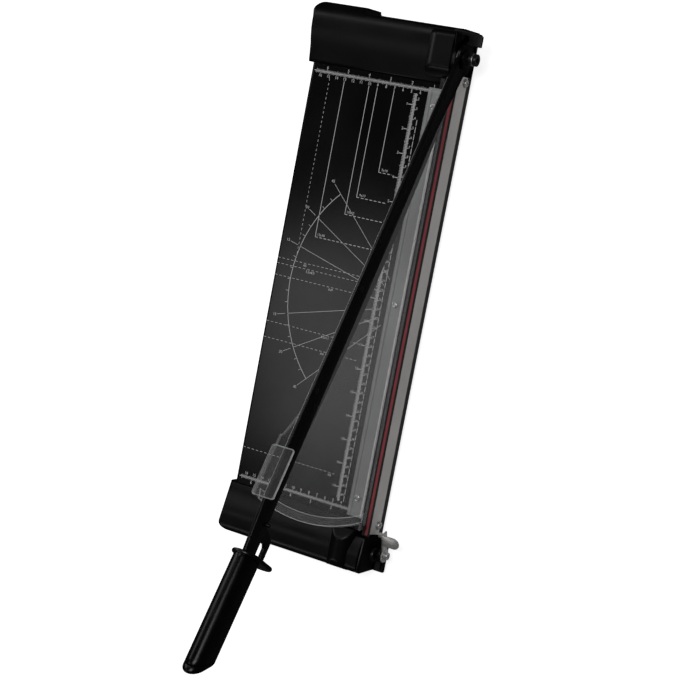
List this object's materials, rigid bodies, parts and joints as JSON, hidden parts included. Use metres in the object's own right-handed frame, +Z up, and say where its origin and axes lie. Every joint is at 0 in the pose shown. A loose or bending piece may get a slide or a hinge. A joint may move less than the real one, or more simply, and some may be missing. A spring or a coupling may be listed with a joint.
{
  "type": "guillotine paper cutter",
  "caption": "Long narrow paper guillotine: metal table with moulded end caps, hinged knife arm with grip, clear blade guard, paper clamp strip and a latch.",
  "frame": {"origin": "centre of the footprint box, on the desk surface", "axes": "+X towards the cutting edge side, +Y towards the hinge end (away from the operator), +Z up"},
  "size_m": [0.2098, 0.6216, 0.3583],
  "materials": {
    "table_paint": "satin textured black powder coat",
    "base_steel": "plain dark sheet steel",
    "rubber": "matt black rubber",
    "zinc_screws": "bright zinc",
    "cap_plastic": "moulded black plastic, semi gloss",
    "rail_paint": "satin black paint",
    "blade_steel": "ground tool steel",
    "knife_steel": "ground blade steel",
    "bright_steel": "polished",
    "edge_film": "black film",
    "red_film": "red film",
    "hinge_steel": "dark painted steel",
    "dark_screws": "blackened steel",
    "washer_steel": "spring steel",
    "bronze": "plain bearing bronze",
    "arm_paint": "semi gloss black powder coat",
    "shield_plastic": "moulded black plastic",
    "grip_plastic": "glossy black plastic",
    "clear_plastic": "clear acrylic",
    "guard_black": "black plastic",
    "clamp_clear": "clear acrylic",
    "latch_steel": "bright bent sheet steel"
  },
  "bodies": {
    "base": {"table_plate": "table_paint", "floor_plate": "base_steel", "cross_ribs": "base_steel", "rubber_feet": "rubber", "arm_stop": "rubber", "feet_screws": "zinc_screws", "cap_screws": "zinc_screws", "clamp_springs": "zinc_screws", "rear_cap": "cap_plastic", "front_cap": "cap_plastic", "blade_rail": "rail_paint", "fixed_blade": "blade_steel", "blade_washers": "bright_steel", "blade_bolts": "bright_steel", "latch_washers": "bright_steel", "latch_screw": "bright_steel", "edge_strip": "edge_film", "cut_line": "red_film", "hinge_block": "hinge_steel", "block_screws": "dark_screws", "pivot_hub": "dark_screws", "pivot_bolt": "dark_screws", "latch_post": "dark_screws", "side_nut": "dark_screws", "guard_screws": "dark_screws", "pivot_washers": "washer_steel", "pivot_spring": "washer_steel", "guard_plate": "clear_plastic", "guard_rim": "clear_plastic", "guard_hood": "clear_plastic", "guard_brackets": "guard_black"},
    "arm": {"arm_bar": "arm_paint", "moving_blade": "knife_steel", "arm_rivets": "dark_screws", "pivot_bush": "bronze", "hand_shield": "shield_plastic", "handle_grip": "grip_plastic", "handle_end": "grip_plastic", "handle_pins": "dark_screws", "catch_stud": "dark_screws"},
    "clamp": {"clamp_strip": "clamp_clear", "clamp_pins": "zinc_screws"},
    "latch": {"latch_lever": "latch_steel"}
  },
  "joints": [
    {"name": "arm_swing", "type": "hinge", "parent": "base", "child": "arm", "pos_m": [0.0781, 0.2758, 0.04], "axis": [1, 0, 0], "range_deg": [0, 27]},
    {"name": "clamp_press", "type": "slide", "parent": "base", "child": "clamp", "axis": [0, 0, -1], "range_m": [0, 0.0024], "stiffness_N_per_m": 250, "springref_m": -0.003, "deforming": ["clamp_springs"]},
    {"name": "latch_swing", "type": "hinge", "parent": "base", "child": "latch", "pos_m": [0.0851, -0.2462, 0.0165], "axis": [1, 0, 0], "range_deg": [0, 42]}
  ]
}
